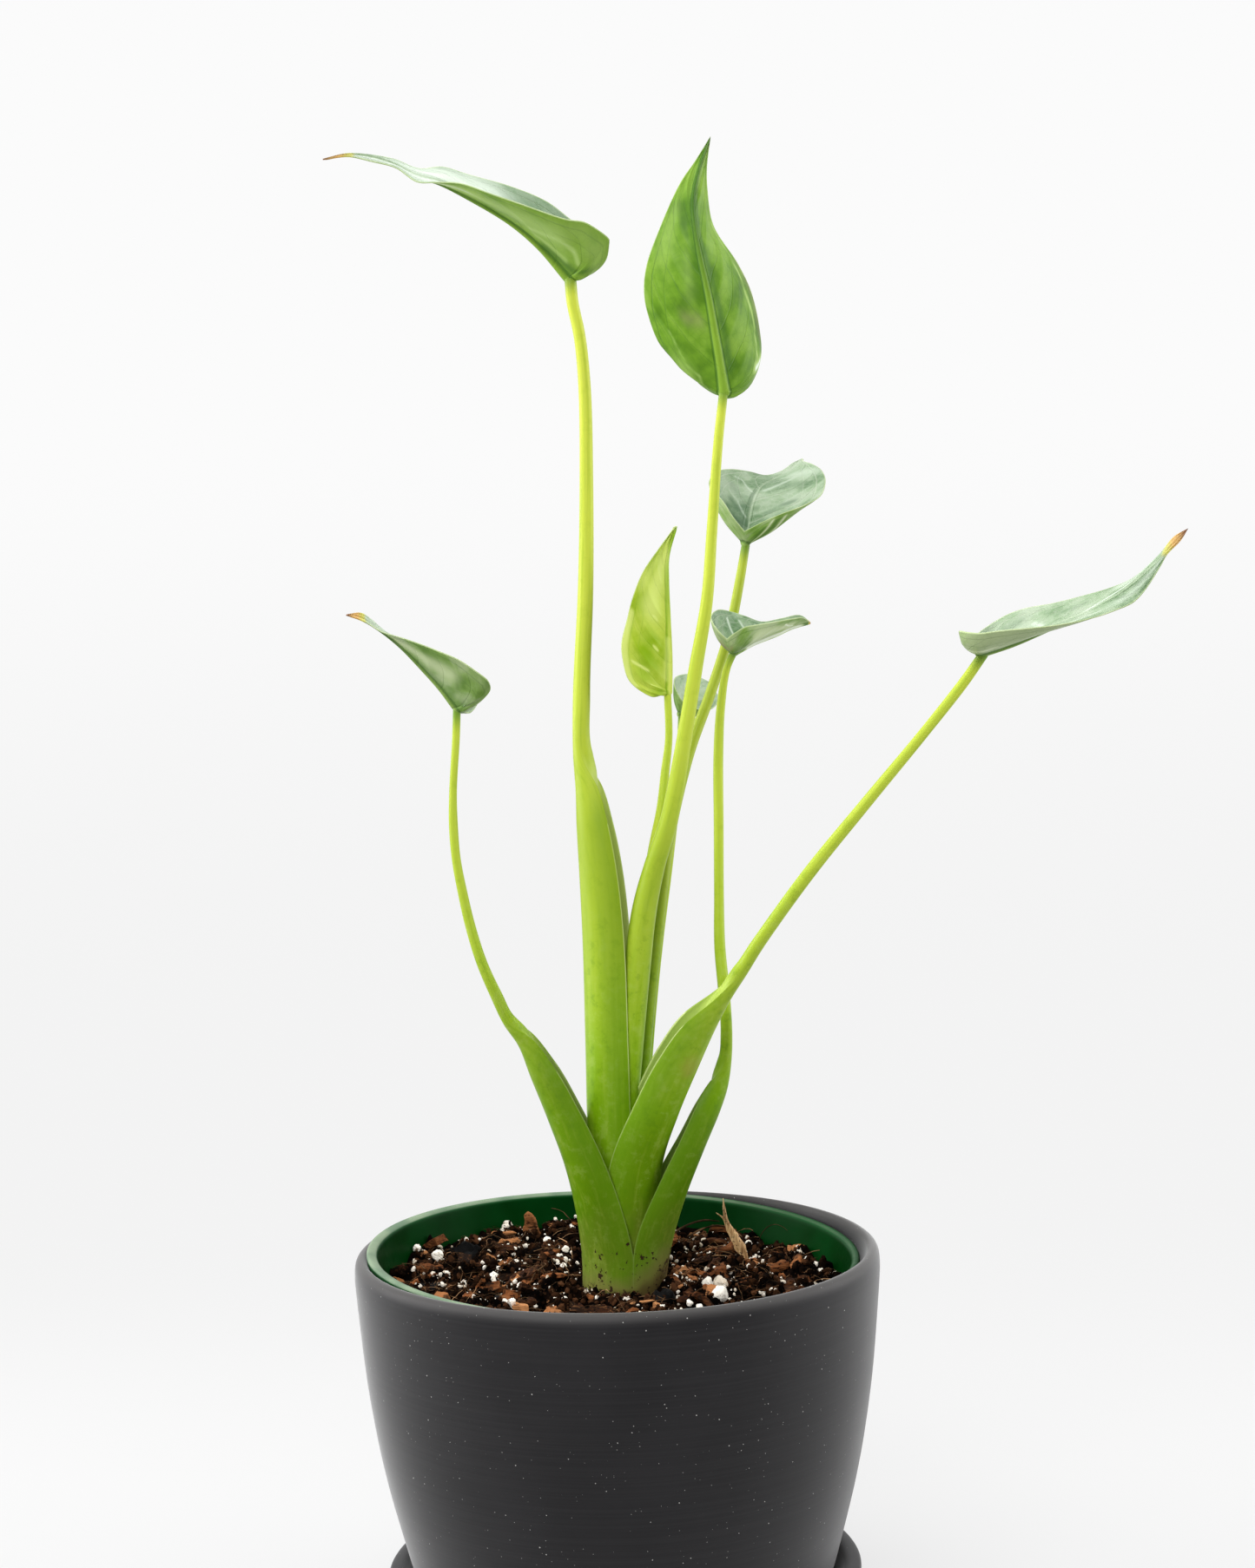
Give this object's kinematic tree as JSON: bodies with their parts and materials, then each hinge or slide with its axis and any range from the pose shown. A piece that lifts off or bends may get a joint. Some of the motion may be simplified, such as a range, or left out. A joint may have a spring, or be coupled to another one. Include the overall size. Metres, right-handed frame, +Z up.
{
  "type": "potted aroid plant",
  "caption": "Small upright aroid with thin sheathing petioles and arrow-shaped pointed blades, growing in a nursery pot inside a tapered round planter on its saucer.",
  "frame": {"origin": "centre of the saucer's underside, on the table", "axes": "+Z up along the pot's axis, +X to the viewer's right and -Y towards the viewer in the reference view"},
  "size_m": [0.262, 0.1694, 0.4747],
  "materials": {
    "charcoal_clay": "matt, fine turning lines, sparse white specks",
    "green_plastic": "thin moulded plastic with a satin sheen, rim paler",
    "potting_mix": "loose peat and bark with white perlite grains",
    "corm_skin": "dull and fibrous",
    "petiole_green": "waxy, finely streaked along its length",
    "leaf_green": "dull satin with pinnate veins, yellow to brown at the tips",
    "young_leaf_green": "bright satin, quilted between the veins"
  },
  "bodies": {
    "root": {"saucer": "charcoal_clay", "planter": "charcoal_clay", "nursery_pot": "green_plastic", "soil": "potting_mix", "corm": "corm_skin", "petiole_1": "petiole_green", "petiole_2": "petiole_green", "petiole_3": "petiole_green", "petiole_4": "petiole_green", "petiole_5": "petiole_green", "petiole_6": "petiole_green", "petiole_7": "petiole_green", "petiole_8": "petiole_green", "blade_1": "leaf_green", "blade_2": "leaf_green", "blade_3": "leaf_green", "blade_4": "leaf_green", "blade_5": "leaf_green", "blade_6": "leaf_green", "blade_7": "young_leaf_green", "blade_8": "leaf_green"}
  },
  "joints": []
}
